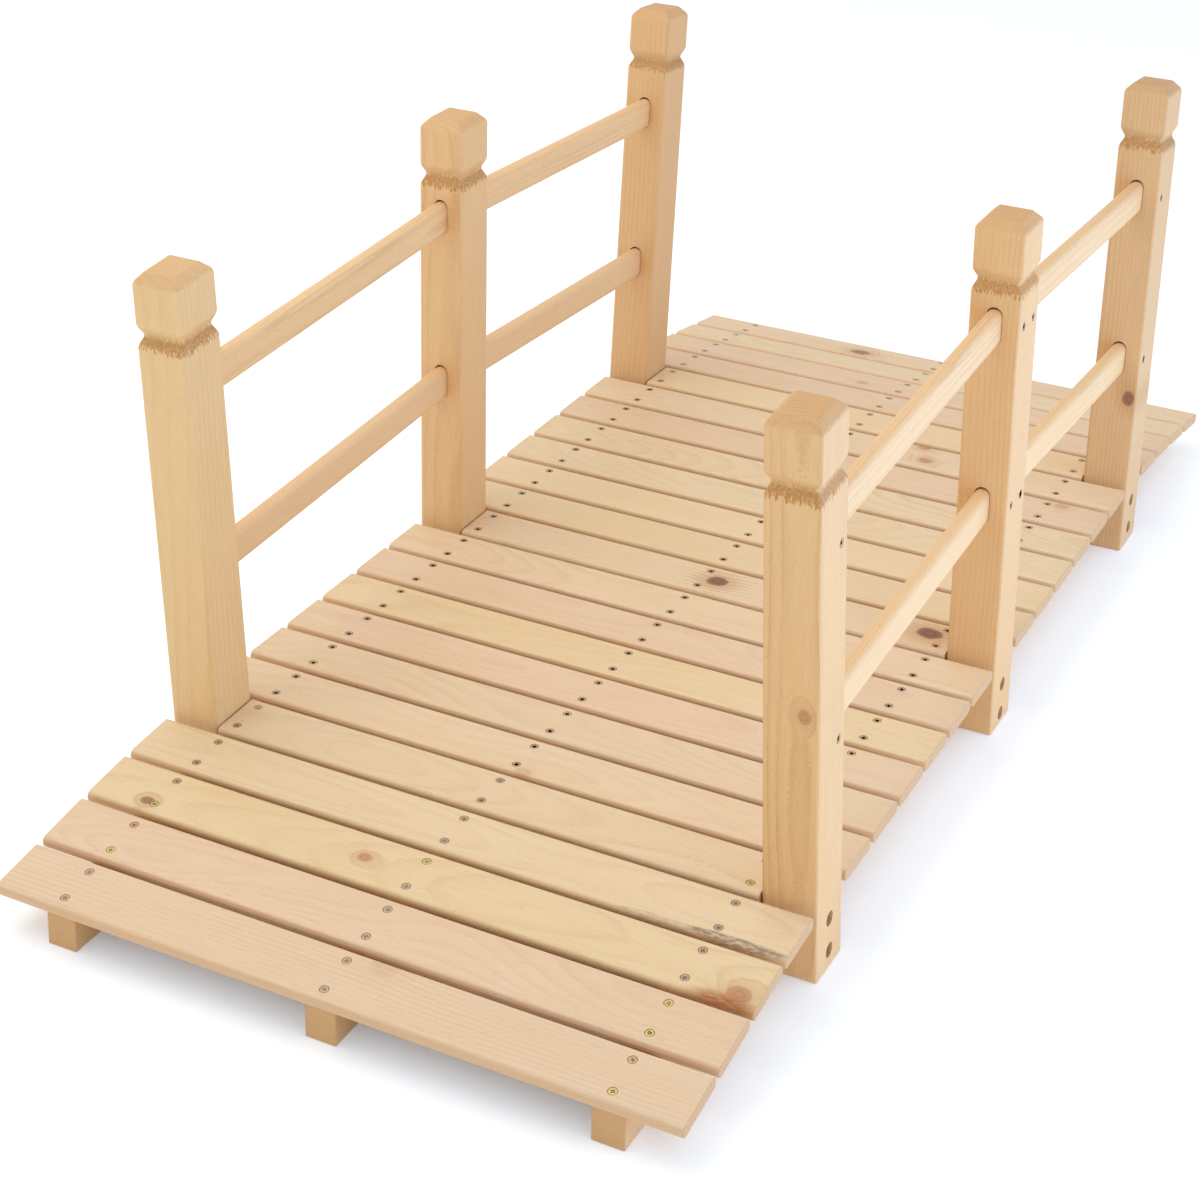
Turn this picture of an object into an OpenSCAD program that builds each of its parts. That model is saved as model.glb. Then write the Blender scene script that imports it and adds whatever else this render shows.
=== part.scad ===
// Small wooden garden footbridge: a plank deck that ramps down at both ends, carried by three
// side-cut stringers that lie on the ground, with three posts and two rails a bay on each side.
// X runs along the bridge, Y across it, Z up. The origin is the middle of the footprint.

/* [Deck] */
// Length of a full deck plank, across the bridge
plank_length = 660; // [550:5:800]
// Width of a plank, along the bridge
plank_width = 60.5; // [52:0.5:64.5]
// Thickness of a plank
plank_thickness = 12; // [10.5:0.5:18]
// Distance from one plank's middle to the next
plank_pitch = 65.8; // [65.5:0.1:80]
// Radius of the rounded long edges of a plank
plank_edge_radius = 5; // [1:0.5:5]
// Height of the deck above the ground, in the level middle
deck_height = 79; // [70:1:110]
// Slope of the straight ramp at each end of the deck
ramp_slope = 8.8; // [7:0.1:10]

/* [Stringers] */
// Thickness of a stringer, across the bridge
stringer_thickness = 30; // [22:1:40]
// How far the end plank reaches past the ends of the stringers
stringer_setback = 4; // [2:1:20]

/* [Posts] */
// Size of a post across the bridge
post_width = 51; // [44:1:60]
// Size of a post along the bridge
post_depth = 56; // [44:1:60]
// How far the outer face of a post stands out past the ends of the planks
post_stand_out = 0; // [0:1:20]
// Lean of the end posts, away from the middle of the bridge
end_post_lean = 4.9; // [0:0.1:7]
// Height of the neck's lower edge above the deck, along the post
neck_height = 392; // [360:1:450]
// Height of the V-shaped neck below the post's head
neck_size = 20; // [12:1:26]
// Depth of the neck's V
neck_depth = 5; // [3:0.5:8]
// Height of the straight sides of the post's head
head_height = 43; // [30:1:55]
// Height of the bevelled top of the head
head_bevel_height = 9.5; // [6:0.5:18]
// How far the bevels of the head reach in from its sides
head_bevel_inset = 9; // [6:0.5:18]

/* [Rails] */
// Thickness of a rail
rail_thickness = 15; // [12:0.5:20]
// Height of a rail
rail_height = 35; // [28:1:40]
// Radius of a rail's rounded edges
rail_edge_radius = 6; // [5.5:0.5:7]
// Height of the top rail's middle above the deck at a middle post
top_rail_mid = 358; // [330:1:370]
// Height of the top rail's middle along an end post
top_rail_end = 337; // [310:1:350]
// Height of the lower rail's middle above the deck at a middle post
low_rail_mid = 170; // [120:1:220]
// Height of the lower rail's middle along an end post
low_rail_end = 148; // [110:1:210]
// Depth of a rail's mortise in a post
mortise_depth = 18; // [10:1:22]

/* [Bolts] */
// Diameter of a bolt's shank
bolt_diameter = 6; // [5:0.5:8]
// Diameter of a bolt's head
bolt_head_diameter = 12; // [9:0.5:13]
// Diameter of the counterbore that a head lies in
counterbore_diameter = 14; // [13.5:0.5:18]
// Depth of the counterbore
counterbore_depth = 7; // [5:0.5:12]
// Height of a middle post's lower bolt above the ground
low_bolt_mid = 12.5; // [11:0.5:24]
// Height of an end post's lower bolt above the ground
low_bolt_end = 19; // [11:0.5:24]
// Distance between a post's two bolts
bolt_spacing = 33; // [26:1:38]

/* [Hidden] */
$fn = 48;
PLANK_COUNT = 23;
PLANKS_PER_BAY = 7;
// Half the level middle of the deck, and the bend between it and a ramp, counted in planks
LEVEL_HALF_PLANKS = 6.35;
BEND_PLANKS = 3.4;
MIDDLE = 12;
SIDES = ["left", "right"];
STATIONS = ["near", "middle", "far"];
BAYS = ["near", "far"];
LEVELS = ["top", "lower"];
// Room between a short plank's end and the post beside it
plank_end_gap = 1.5;
// Room round a rail in its mortise: on each face, above and below, and at its end
mortise_side_gap = 0.5;
mortise_end_gap = 1.75;
mortise_bottom_gap = 1.2;
// Room round a bolt's shank in its hole
bolt_hole_gap = 0.2;
// Thickness of a bolt's head, and how far the shank stops short of the stringer's inner face
bolt_head_thickness = 4;
bolt_tip_cover = 4;
// Extra length of cutting shapes, past the surface that they cut
OVERCUT = 1;

post_outer_y = plank_length / 2 + post_stand_out;
post_inner_y = post_outer_y - post_width;
post_mid_y = post_outer_y - post_width / 2;
post_top = neck_height + neck_size + head_height + head_bevel_height;
short_plank_length = 2 * (post_inner_y - plank_end_gap);
stringer_y = post_inner_y - stringer_thickness / 2;
half_deck = ((PLANK_COUNT - 1) * plank_pitch + plank_width) / 2;
level_half = LEVEL_HALF_PLANKS * plank_pitch;
bend_length = BEND_PLANKS * plank_pitch;
bend_radius = bend_length / (ramp_slope * PI / 180);
stringer_half = deck_x(half_deck) - plank_thickness * sin(deck_angle(half_deck)) - stringer_setback;
post_spacing = PLANKS_PER_BAY * plank_pitch;
mortise_width = rail_thickness + 2 * mortise_side_gap;
mortise_height = rail_height + 2 * mortise_end_gap;

function two_digits(i) = str(i < 10 ? "0" : "", i);
function plank_name(i) = str("deck_plank_", two_digits(i));
function post_name(station, side) = str("post_", STATIONS[station], "_", SIDES[side]);
function rail_name(level, bay, side) = str("rail_", LEVELS[level], "_", BAYS[bay], "_", SIDES[side]);

// The deck's line: level in the middle, then an arc of bend_radius and a straight ramp each way.
// s is the length along the deck from its middle, with the near end of the bridge below zero.
function bend_part(s) = min(max(abs(s) - level_half, 0), bend_length);
function ramp_part(s) = max(abs(s) - level_half - bend_length, 0);
function deck_angle(s) = sign(s) * ramp_slope * bend_part(s) / bend_length;
function deck_x(s) = sign(s)
    * (min(abs(s), level_half) + bend_radius * sin(abs(deck_angle(s))) + ramp_part(s) * cos(ramp_slope));
function deck_z(s) = deck_height - bend_radius * (1 - cos(deck_angle(s))) - ramp_part(s) * sin(ramp_slope);
function plank_s(i) = (i - MIDDLE) * plank_pitch;
function is_short(i) = (i - MIDDLE) % PLANKS_PER_BAY == 0;

// The middle of plank i's underside, and the way that it runs
function underside(i) = [
    deck_x(plank_s(i)) - plank_thickness * sin(deck_angle(plank_s(i))),
    deck_z(plank_s(i)) - plank_thickness * cos(deck_angle(plank_s(i)))
];
function heading(i) = [cos(deck_angle(plank_s(i))), -sin(deck_angle(plank_s(i)))];
// Corner of a stringer's top edge, where the undersides of plank i and of the next one out meet
function top_corner(i) = deck_angle(plank_s(i)) == deck_angle(plank_s(i + 1))
    ? (underside(i) + underside(i + 1)) / 2
    : underside(i) + heading(i) * cross(underside(i + 1) - underside(i), heading(i + 1))
        / cross(heading(i), heading(i + 1));
end_corner = [
    stringer_half,
    underside(PLANK_COUNT)[1] - (stringer_half - underside(PLANK_COUNT)[0]) * tan(ramp_slope)
];
ramp_corners = [for (i = [MIDDLE + 1 : PLANK_COUNT - 1]) if (deck_angle(plank_s(i + 1)) > 0) top_corner(i)];
far_outline = concat(ramp_corners, [end_corner, [stringer_half, 0]]);
near_outline = [for (i = [len(far_outline) - 1 : -1 : 0]) [-far_outline[i][0], far_outline[i][1]]];

// Posts stand on the ground, where the deck's line passes them
function station_sign(station) = station - 1;
function station_s(station) = station_sign(station) * post_spacing;
function post_lean(station) = station_sign(station) * end_post_lean;
function side_sign(side) = side == 0 ? 1 : -1;
function rail_height_at(level, station) = station == 1
    ? (level == 0 ? top_rail_mid : low_rail_mid)
    : (level == 0 ? top_rail_end : low_rail_end);
// A point of a post, u along the bridge from its middle and h up it from the deck's line
function post_point(station, u, h) = [
    deck_x(station_s(station)) + u * cos(post_lean(station)) + h * sin(post_lean(station)),
    deck_z(station_s(station)) - u * sin(post_lean(station)) + h * cos(post_lean(station))
];
function bolt_z(station, k) = (station == 1 ? low_bolt_mid : low_bolt_end) + k * bolt_spacing;
function bolt_x(station, z) = deck_x(station_s(station))
    + (z - deck_z(station_s(station))) * tan(post_lean(station));

module rounded_bar(length, width, height, radius) {
    rotate([90, 0, 0])
        linear_extrude(length, center = true) {
            square([width - 2 * radius, height], center = true);
            square([width, height - 2 * radius], center = true);
            for (x = [-1, 1], y = [-1, 1])
                translate([x * (width / 2 - radius), y * (height / 2 - radius)])
                    circle(radius);
        }
}

module deck_plank(i) {
    s = plank_s(i);
    color("burlywood")
        translate([deck_x(s), 0, deck_z(s)])
            rotate([0, deck_angle(s), 0])
                translate([0, 0, -plank_thickness / 2])
                    rounded_bar(
                        is_short(i) ? short_plank_length : plank_length,
                        plank_width, plank_thickness, plank_edge_radius
                    );
}

module stringer(y) {
    color("tan")
        difference() {
            translate([0, y, 0])
                rotate([90, 0, 0])
                    linear_extrude(stringer_thickness, center = true)
                        polygon(concat(near_outline, far_outline));
            if (y != 0)
                for (station = [0 : 2])
                    bolt_holes(station, sign(y));
        }
}

// Side view of a post, with its foot far below the deck's line
module post_outline(width) {
    half = width / 2;
    foot = -deck_height - width;
    right = [
        [half, foot],
        [half, neck_height],
        [half - neck_depth, neck_height + neck_size / 2],
        [half, neck_height + neck_size],
        [half, post_top - head_bevel_height],
        [half - head_bevel_inset, post_top]
    ];
    left = [for (i = [len(right) - 1 : -1 : 0]) [-right[i][0], right[i][1]]];
    polygon(concat(right, left));
}

// A mortise with round ends, cut in from the face that stands at u along the bridge
module mortise(u, h) {
    straight = mortise_height - mortise_width;
    translate([u, 0, h])
        rotate([0, 90, 0]) {
            cube([straight, mortise_width, 2 * mortise_depth], center = true);
            for (end = [-1, 1])
                translate([end * straight / 2, 0, 0])
                    cylinder(d = mortise_width, h = 2 * mortise_depth, center = true);
        }
}

module post_blank() {
    intersection() {
        rotate([90, 0, 0])
            linear_extrude(post_width, center = true) post_outline(post_depth);
        rotate([90, 0, 90])
            linear_extrude(post_depth, center = true) post_outline(post_width);
    }
}

// Holes for the two bolts of one post: a clear hole for the shank and a counterbore for the head
module bolt_holes(station, y_sign) {
    for (k = [0, 1])
        translate([bolt_x(station, bolt_z(station, k)), y_sign * post_outer_y, bolt_z(station, k)])
            rotate([y_sign * 90, 0, 0]) {
                translate([0, 0, -OVERCUT])
                    cylinder(d = counterbore_diameter, h = counterbore_depth + OVERCUT);
                cylinder(
                    d = bolt_diameter + 2 * bolt_hole_gap,
                    h = post_width + stringer_thickness - bolt_tip_cover + bolt_hole_gap
                );
            }
}

module post(station, side) {
    y_sign = side_sign(side);
    color("wheat")
        difference() {
            translate([deck_x(station_s(station)), y_sign * post_mid_y, deck_z(station_s(station))])
                rotate([0, post_lean(station), 0])
                    difference() {
                        post_blank();
                        for (level = [0, 1], face = [-1, 1])
                            if (abs(station_sign(station) + face) < 2)
                                mortise(face * post_depth / 2, rail_height_at(level, station));
                    }
            translate([deck_x(station_s(station)) - deck_height * 2, -plank_length, -deck_height * 2])
                cube([deck_height * 4, plank_length * 2, deck_height * 2]);
            bolt_holes(station, y_sign);
        }
}

// A rail between two posts, from near the bottom of one mortise to near the bottom of the other
module rail(level, bay, side) {
    reach = post_depth / 2 - mortise_depth + mortise_bottom_gap;
    from = post_point(bay, reach, rail_height_at(level, bay));
    to = post_point(bay + 1, -reach, rail_height_at(level, bay + 1));
    run = to - from;
    middle = (from + to) / 2;
    color("wheat")
        translate([middle[0], side_sign(side) * post_mid_y, middle[1]])
            rotate([0, -atan2(run[1], run[0]), 0])
                rotate([0, 0, 90])
                    rounded_bar(norm(run), rail_thickness, rail_height, rail_edge_radius);
}

module bolts(side) {
    y_sign = side_sign(side);
    color("darkgoldenrod")
        for (station = [0 : 2], k = [0, 1])
            translate([bolt_x(station, bolt_z(station, k)), y_sign * post_outer_y, bolt_z(station, k)])
                rotate([y_sign * 90, 0, 0]) {
                    translate([0, 0, counterbore_depth - bolt_head_thickness])
                        cylinder(d = bolt_head_diameter, h = bolt_head_thickness);
                    translate([0, 0, counterbore_depth - bolt_head_thickness / 2])
                        cylinder(
                            d = bolt_diameter,
                            h = post_width + stringer_thickness - bolt_tip_cover
                                - counterbore_depth + bolt_head_thickness / 2
                        );
                }
}

for (i = [1 : PLANK_COUNT])
    deck_plank(i);
stringer(stringer_y);  // stringer_left
stringer(0);  // stringer_middle
stringer(-stringer_y);  // stringer_right
for (station = [0 : 2], side = [0 : 1])
    post(station, side);
for (level = [0 : 1], bay = [0 : 1], side = [0 : 1])
    rail(level, bay, side);
bolts(0);  // bolts_left
bolts(1);  // bolts_right
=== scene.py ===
"""Wooden garden footbridge: the finished pieces and the studio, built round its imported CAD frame.

Every length in the code is in metres. X runs along the bridge, Y across it and Z up.
"""

import math
import random
from functools import partial
from typing import NamedTuple

import bmesh
import bpy
from mathutils import Euler, Matrix, Vector


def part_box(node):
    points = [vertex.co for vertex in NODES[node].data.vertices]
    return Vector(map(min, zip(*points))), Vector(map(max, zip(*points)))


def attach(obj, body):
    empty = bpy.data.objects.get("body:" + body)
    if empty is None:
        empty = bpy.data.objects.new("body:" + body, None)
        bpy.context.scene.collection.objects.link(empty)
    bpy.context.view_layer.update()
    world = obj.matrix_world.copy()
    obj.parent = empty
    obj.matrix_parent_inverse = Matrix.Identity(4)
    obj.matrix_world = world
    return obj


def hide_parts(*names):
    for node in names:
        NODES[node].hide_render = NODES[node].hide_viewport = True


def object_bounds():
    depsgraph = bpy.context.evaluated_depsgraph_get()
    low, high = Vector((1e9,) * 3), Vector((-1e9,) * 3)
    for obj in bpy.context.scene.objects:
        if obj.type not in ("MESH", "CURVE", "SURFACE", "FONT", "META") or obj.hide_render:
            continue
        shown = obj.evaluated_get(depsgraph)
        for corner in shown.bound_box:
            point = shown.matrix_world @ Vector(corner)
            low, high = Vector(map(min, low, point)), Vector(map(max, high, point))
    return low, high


bl_info = {
    "name": "Wooden garden footbridge",
    "version": (1, 0, 0),
    "blender": (4, 5, 0),
    "location": "3D View > Sidebar > Footbridge",
    "description": "Finished timber, screws and bolts of a small pine footbridge, and a pale studio",
    "category": "Object",
}

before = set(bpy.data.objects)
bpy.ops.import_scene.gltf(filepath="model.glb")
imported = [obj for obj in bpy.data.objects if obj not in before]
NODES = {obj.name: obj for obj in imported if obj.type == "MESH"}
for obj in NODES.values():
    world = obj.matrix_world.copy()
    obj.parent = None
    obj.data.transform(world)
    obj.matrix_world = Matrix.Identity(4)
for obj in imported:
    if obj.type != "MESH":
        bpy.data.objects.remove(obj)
CAD_BOX = [list(corner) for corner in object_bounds()]

MM = 0.001
X, Y, Z = Vector((1, 0, 0)), Vector((0, 1, 0)), Vector((0, 0, 1))
# A head's tone runs from 0 to 1: below this its zinc is dark brown, which is also painted shade for
# heads that sit in shade, and above it is fresh
FRESH_ZINC = 0.2
# A knot whose strength is below this is still fresh and orange-brown
FRESH_KNOT = 0.7
PLANKS = sorted(name for name in NODES if name.startswith("deck_plank"))
STRINGERS = sorted(name for name in NODES if name.startswith("stringer"))
POSTS = sorted(name for name in NODES if name.startswith("post"))
RAILS = sorted(name for name in NODES if name.startswith("rail"))
BOLTS = sorted(name for name in NODES if name.startswith("bolts"))


def linear(hex_code):
    """An sRGB hex colour as linear red, green, blue and alpha."""
    parts = [int(hex_code[i:i + 2], 16) / 255 for i in (1, 3, 5)]
    return [c / 12.92 if c <= 0.04045 else ((c + 0.055) / 1.055) ** 2.4 for c in parts] + [1.0]


def colour_property(name, hex_code, description):
    return bpy.props.FloatVectorProperty(
        name=name, description=description, default=linear(hex_code)[:3],
        subtype="COLOR", size=3, min=0, max=1)


def length_property(name, millimetres, description):
    return bpy.props.FloatProperty(
        name=name, description=description, default=millimetres * MM, min=0,
        unit="LENGTH", subtype="DISTANCE", precision=4)


def place_property(name, metres, description):
    return bpy.props.FloatVectorProperty(
        name=name, description=description, default=metres, size=3,
        unit="LENGTH", subtype="TRANSLATION", precision=4)


def angle_property(name, degrees, description):
    return bpy.props.FloatProperty(
        name=name, description=description, default=math.radians(degrees),
        unit="ROTATION", subtype="ANGLE")


def plain_property(name, default, description, unit="NONE"):
    return bpy.props.FloatProperty(
        name=name, description=description, default=default, unit=unit, precision=4)


class FootbridgeTimber(bpy.types.PropertyGroup):
    earlywood: colour_property("Earlywood", "#ECD1A9", "Pale wood that grows in spring")
    latewood: colour_property("Latewood", "#C08A55", "Darker line that closes each year's ring")
    ruddy: colour_property("Ruddy timber", "#E8C190", "Earlywood of the rails")
    honey: colour_property("Honey timber", "#E2B680", "Earlywood of the posts and stringers")
    rosy: colour_property("Rosy boards", "#E8C7A4", "Earlywood of the boards with more heartwood")
    golden: colour_property("Golden boards", "#EACB96", "Earlywood of the boards with more resin")
    end_grain: colour_property("End grain", "#C08E58", "Cut ends, which take up more light")
    torn_grain: colour_property("Torn grain", "#B47A33", "Golden-brown torn wood of a groove")
    fresh_knot: colour_property("Fresh knot", "#B8794B", "Orange-brown knot, still full of resin")
    knot: colour_property("Knot", "#8F5C44", "Sound red-brown knot")
    knot_rim: colour_property("Knot rim", "#6A3F28", "Bark line round a knot")
    scuff: colour_property("Scuff", "#75604F", "Grey-brown mark of rough, weathered wood")
    resin: colour_property("Resin stain", "#A9622C", "Red-brown resin that has run from a knot")
    plank_round: length_property("Plank edge radius", 5, "Radius of the planks' long edges")
    rail_round: length_property("Rail edge radius", 6, "Radius of the rails' long edges")
    end_arris: length_property("End arris", 1, "Rounding of the sawn ends' edges")
    post_arris: length_property("Post arris", 2.4, "Rounding of the posts' edges")
    stringer_arris: length_property("Stringer arris", 1.2, "Rounding of the stringers' edges")


class FootbridgeFixings(bpy.types.PropertyGroup):
    screw_head: length_property("Screw head radius", 3.6, "Radius of a countersunk screw's head")
    screw_sink: length_property("Screw sink", 0.35, "How far a head lies below the wood")
    pocket_mouth: length_property("Pocket mouth", 4.4, "Radius of a countersink at the surface")
    pocket_floor: length_property("Pocket floor", 3.8, "Radius of a countersink's floor")
    pocket_depth: length_property("Pocket depth", 1.5, "Depth of a countersink")
    row_half: length_property("Screw spacing", 17.5, "From a plank's middle line to each screw")
    rail_screw_offset: length_property("Rail screw offset", 14, "From a post's middle to a screw")
    screw_arm: length_property("Screw recess arm", 1.8, "Half width of a screw's cross recess")
    screw_slot: length_property("Screw recess slot", 0.55, "Half thickness of one arm's slot")
    screw_recess: length_property("Screw recess depth", 1.4, "Depth of a screw's cross recess")
    screw_shank: length_property("Screw shank radius", 1.9, "Radius at the foot of a head's taper")
    screw_taper: length_property("Screw taper", 2.2, "Depth of a countersunk head's taper")
    bolt_head: length_property("Bolt head radius", 6, "Radius of a bolt's head")
    bolt_arm: length_property("Bolt recess arm", 3.2, "Half width of a bolt's cross recess")
    bolt_slot: length_property("Bolt recess slot", 0.9, "Half thickness of one arm's slot")
    bolt_recess: length_property("Bolt recess depth", 2.4, "Depth of a bolt's cross recess")
    bolt_draft: length_property("Bolt head draft", 0.12, "How much a bolt's head narrows inwards")
    bolt_depth: length_property("Bolt head depth", 4, "Depth of a bolt's head")
    # Dark brown zinc, also painted shade for the bolts' and the rails' screws' heads, which sit in
    # shade
    brown_zinc_and_shade: colour_property("Aged zinc", "#6B5140", "Brown zinc of the bolts and the rails' screws")
    gilt: colour_property("Yellow zinc", "#DCCB74", "Zinc with a fresh yellow passivation")
    bronze: colour_property("Bronzed zinc", "#CDA28C", "Zinc whose passivation has gone reddish")
    dull: colour_property("Dull zinc", "#C3B496", "Worn pale zinc")
    # Painted shade: near-black colour laid in each cross recess, where only shade falls
    dirt: colour_property("Recess dirt", "#1C0F09", "Shadowed dirt inside the recess")


class FootbridgeStage(bpy.types.PropertyGroup):
    floor: colour_property("Floor", "#F7F0E3", "Matt pale studio floor")
    floor_reach: length_property("Floor reach", 9000, "From the middle of the floor to its edges")
    glow: colour_property("Floor glow", "#C2E0FF", "Cool light that comes up through the floor")
    glow_strength: plain_property("Floor glow strength", 0.38, "Radiance of the floor's own light")
    glow_fade: length_property("Glow fade", 80, "Width in which the glow fades under the bridge")
    dome: colour_property("Dome", "#F8FBFF", "Even light from the whole room")
    dome_strength: plain_property("Dome strength", 0.79, "Radiance of the room's even light")
    softbox_power: plain_property("Softbox power", 30, "Power of the overhead softbox", "POWER")
    softbox_side: length_property("Softbox side", 2600, "Side of the square overhead softbox")
    softbox_place: place_property("Softbox place", (-0.4, 1.0, 2.6), "Middle of the softbox")
    strip: colour_property("Strip light", "#98C2FF", "Cool daylight from beside the right rail")
    strip_power: plain_property(
        "Strip light power", 17, "Power of the low light beside the right rail", "POWER")
    strip_length: length_property("Strip light length", 2200, "Length of the low side light")
    strip_height: length_property("Strip light height", 600, "Height of the low side light")
    strip_place: place_property("Strip light place", (0, -1.5, 0.34), "Middle of the side light")
    lens: plain_property("Lens", 78.44, "Focal length of the camera", "CAMERA")
    shift_across: plain_property("Shift across", 0.0157, "Camera's sideways shift, in widths")
    shift_up: plain_property("Shift up", -0.4004, "Camera's upward shift, in picture widths")
    camera_place: place_property("Camera place", (-2.2665, -1.0027, 1.3848), "Where the camera is")
    camera_dip: angle_property("Camera dip", 17.75, "How far the camera looks down")
    camera_heading: angle_property("Camera heading", -62.95, "Turn from facing along Y")
    camera_roll: angle_property("Camera roll", 0.93, "Turn about the line of sight")


# ---------------------------------------------------------------- materials

def add(tree, kind, inputs=(), **settings):
    """Adds one shader node, with its settings, and links or sets its inputs.

    Inputs are given by name, or as a list in the order of those in use. A node given as an
    input stands for the first of its outputs in use."""
    made = tree.nodes.new("ShaderNode" + kind)
    for key, value in settings.items():
        setattr(made, key, value)
    if not isinstance(inputs, dict):
        in_use = [index for index, socket in enumerate(made.inputs) if socket.enabled]
        inputs = dict(zip(in_use, inputs))
    for key, value in inputs.items():
        if isinstance(value, bpy.types.Node):
            value = next(socket for socket in value.outputs if socket.enabled)
        if isinstance(value, bpy.types.NodeSocket):
            tree.links.new(value, made.inputs[key])
        else:
            made.inputs[key].default_value = value
    return made


def blank_material(name):
    """A material without nodes, and the function that adds nodes to it."""
    material = bpy.data.materials.new(name)
    material.use_nodes = True
    material.node_tree.nodes.clear()
    return material, partial(add, material.node_tree)


def rgba(colour, factor=1.0):
    return [min(c * factor, 1.0) for c in colour[:3]] + [1.0]


class Grain(NamedTuple):
    """How one piece was cut from its log, and how strongly its grain shows."""
    seed: float
    pith: tuple  # where the log's heart lies, across the piece and above it
    base: str = "ruddy"
    light: float = 1.0
    tint: float = 0.0  # from -1, all rosy, to 1, all golden
    ring: float = 3.6 * MM
    wander: float = 14 * MM
    contrast: float = 0.5
    end_strength: float = 0.5
    edge: float = 0.0  # how much darker the narrow edges are drawn: painted shade in the joints between planks
    groove: tuple = ()  # from where to where a torn slope runs, and how strongly it shows


def streaks(node, position, along, across, seed, detail=2.0):
    """Noise drawn out along the grain: along and across are the patches' sizes."""
    stretched = node("VectorMath", [position, (1 / along, 1 / across, 1 / across)],
                     operation="MULTIPLY")
    return node("TexNoise", {"Vector": stretched, "W": seed, "Scale": 1.0, "Detail": detail},
                noise_dimensions="4D")


def spot_distance(node, own, along, across, half_length, half_width):
    """Distance from a spot on the piece, where 1 is an ellipse's edge. It ignores depth."""
    away = node("VectorMath", [own, (along, across, 0)], operation="SUBTRACT")
    away = node("VectorMath", [away, (1 / half_length, 1 / half_width, 0)], operation="MULTIPLY")
    return node("VectorMath", [away], operation="LENGTH")


def log_field(node, own, grain):
    """The piece's own axes, bent by the slow drift of the log's heart along the piece, which
    turns straight rings into arches."""
    drift = streaks(node, own, 0.42, 0.16, grain.seed, detail=1.5)
    swing = grain.wander * 2
    bent = node("VectorMath", [drift.outputs["Color"], (0, swing, swing * 3),
                               (0, -swing / 2, -swing * 1.5)], operation="MULTIPLY_ADD")
    return node("VectorMath", [own, bent], operation="ADD")


def knotted(node, own, field, seed, knots):
    """Lifts the rings round each knot. Also gives where the rings crowd together, and the marks
    that each knot leaves, as masks and colours."""
    timber = bpy.context.scene.footbridge_timber
    crowded, marks = 0.0, []
    for along, across, radius, strength in knots:
        fresh = strength < FRESH_KNOT
        away = spot_distance(node, own, along, across, 1.25 * radius, radius)
        wobble = streaks(node, own, 12 * MM, 8 * MM, seed + along * 31, detail=1.0)
        wobble = node("Math", [wobble, 0.5], operation="MULTIPLY")
        away = node("Math", [away, wobble], operation="ADD")
        lift = node("MapRange", [away, 0.6, 3.6, -1.1 * radius, 0], interpolation_type="SMOOTHSTEP")
        lift = node("CombineXYZ", {"Z": lift})
        field = node("VectorMath", [field, lift], operation="ADD")
        near = node("MapRange", [away, 6, 2, 0, 0.6 * strength], interpolation_type="SMOOTHSTEP")
        crowded = node("Math", [near, crowded], operation="MAXIMUM")

        glow = node("MapRange", [away, 3.4, 1.1, 0, 0.5 * strength],
                    interpolation_type="SMOOTHSTEP")
        core = node("MapRange", [away, 1.5, 1.05, 0, strength], interpolation_type="SMOOTHSTEP")
        # Two or three darker rings inside a knot, the outermost where its bark was
        swirl = node("Math", [away, 11], operation="MULTIPLY")
        swirl = node("Math", [swirl], operation="SINE")
        swirl = node("MapRange", [swirl, -0.2, 1, 0, 1], interpolation_type="SMOOTHSTEP")
        rim = node("Math", [swirl, core], operation="MULTIPLY")
        rim = node("Math", [rim, 0.25 if fresh else 0.6], operation="MULTIPLY")
        marks += [(glow, timber.latewood), (core, timber.fresh_knot if fresh else timber.knot),
                  (rim, timber.knot_rim)]
    return field, crowded, marks


def latewood_lines(node, own, field, crowded, grain):
    """Year rings round the heart; the darker latewood ends each ring with a crisp line."""
    heart = node("VectorMath", [field, (0, *grain.pith)], operation="SUBTRACT")
    rings = node("TexWave", {
        "Vector": heart, "Scale": math.pi / 10 / grain.ring, "Distortion": 1.6,
        "Detail": 2.0, "Detail Scale": 6.0, "Phase Offset": grain.seed,
    }, wave_type="RINGS", rings_direction="X", wave_profile="SAW")
    late = node("ValToRGB", {"Fac": rings.outputs["Fac"]})
    stops = late.color_ramp.elements
    stops[0].color = rgba([0.02] * 3)
    stops[1].color = rgba([0.25] * 3)
    for at, level in ((0.35, 0.08), (0.7, 0.4), (0.88, 0.95)):
        stops.new(at).color = rgba([level] * 3)
    patches = streaks(node, own, 160 * MM, 30 * MM, grain.seed + 3)
    strength = node("MapRange", [patches, 0.3, 0.72, 0.35 * grain.contrast, grain.contrast],
                    interpolation_type="SMOOTHSTEP")
    strength = node("Math", [strength, crowded], operation="MAXIMUM")
    return node("Math", [late, strength], operation="MULTIPLY")


def stained(node, own, wood, seed, stains):
    """Lays each stain over the wood as an ellipse that the grain tears up towards its edge."""
    timber = bpy.context.scene.footbridge_timber
    for along, across, half_length, half_width, strength, solid, colour in stains:
        away = spot_distance(node, own, along, across, half_length, half_width)
        inside = node("MapRange", [away, 1, solid, 0, 1], interpolation_type="SMOOTHSTEP")
        torn = streaks(node, own, 7 * MM, 1.6 * MM, seed + 17, detail=4.0)
        torn = node("MapRange", [torn, 0.4, 0.58, (1 - solid) * strength, strength],
                    interpolation_type="SMOOTHSTEP")
        mask = node("Math", [inside, torn], operation="MULTIPLY")
        wood = node("Mix", [mask, wood, rgba(getattr(timber, colour))], data_type="RGBA")
    return wood


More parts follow.
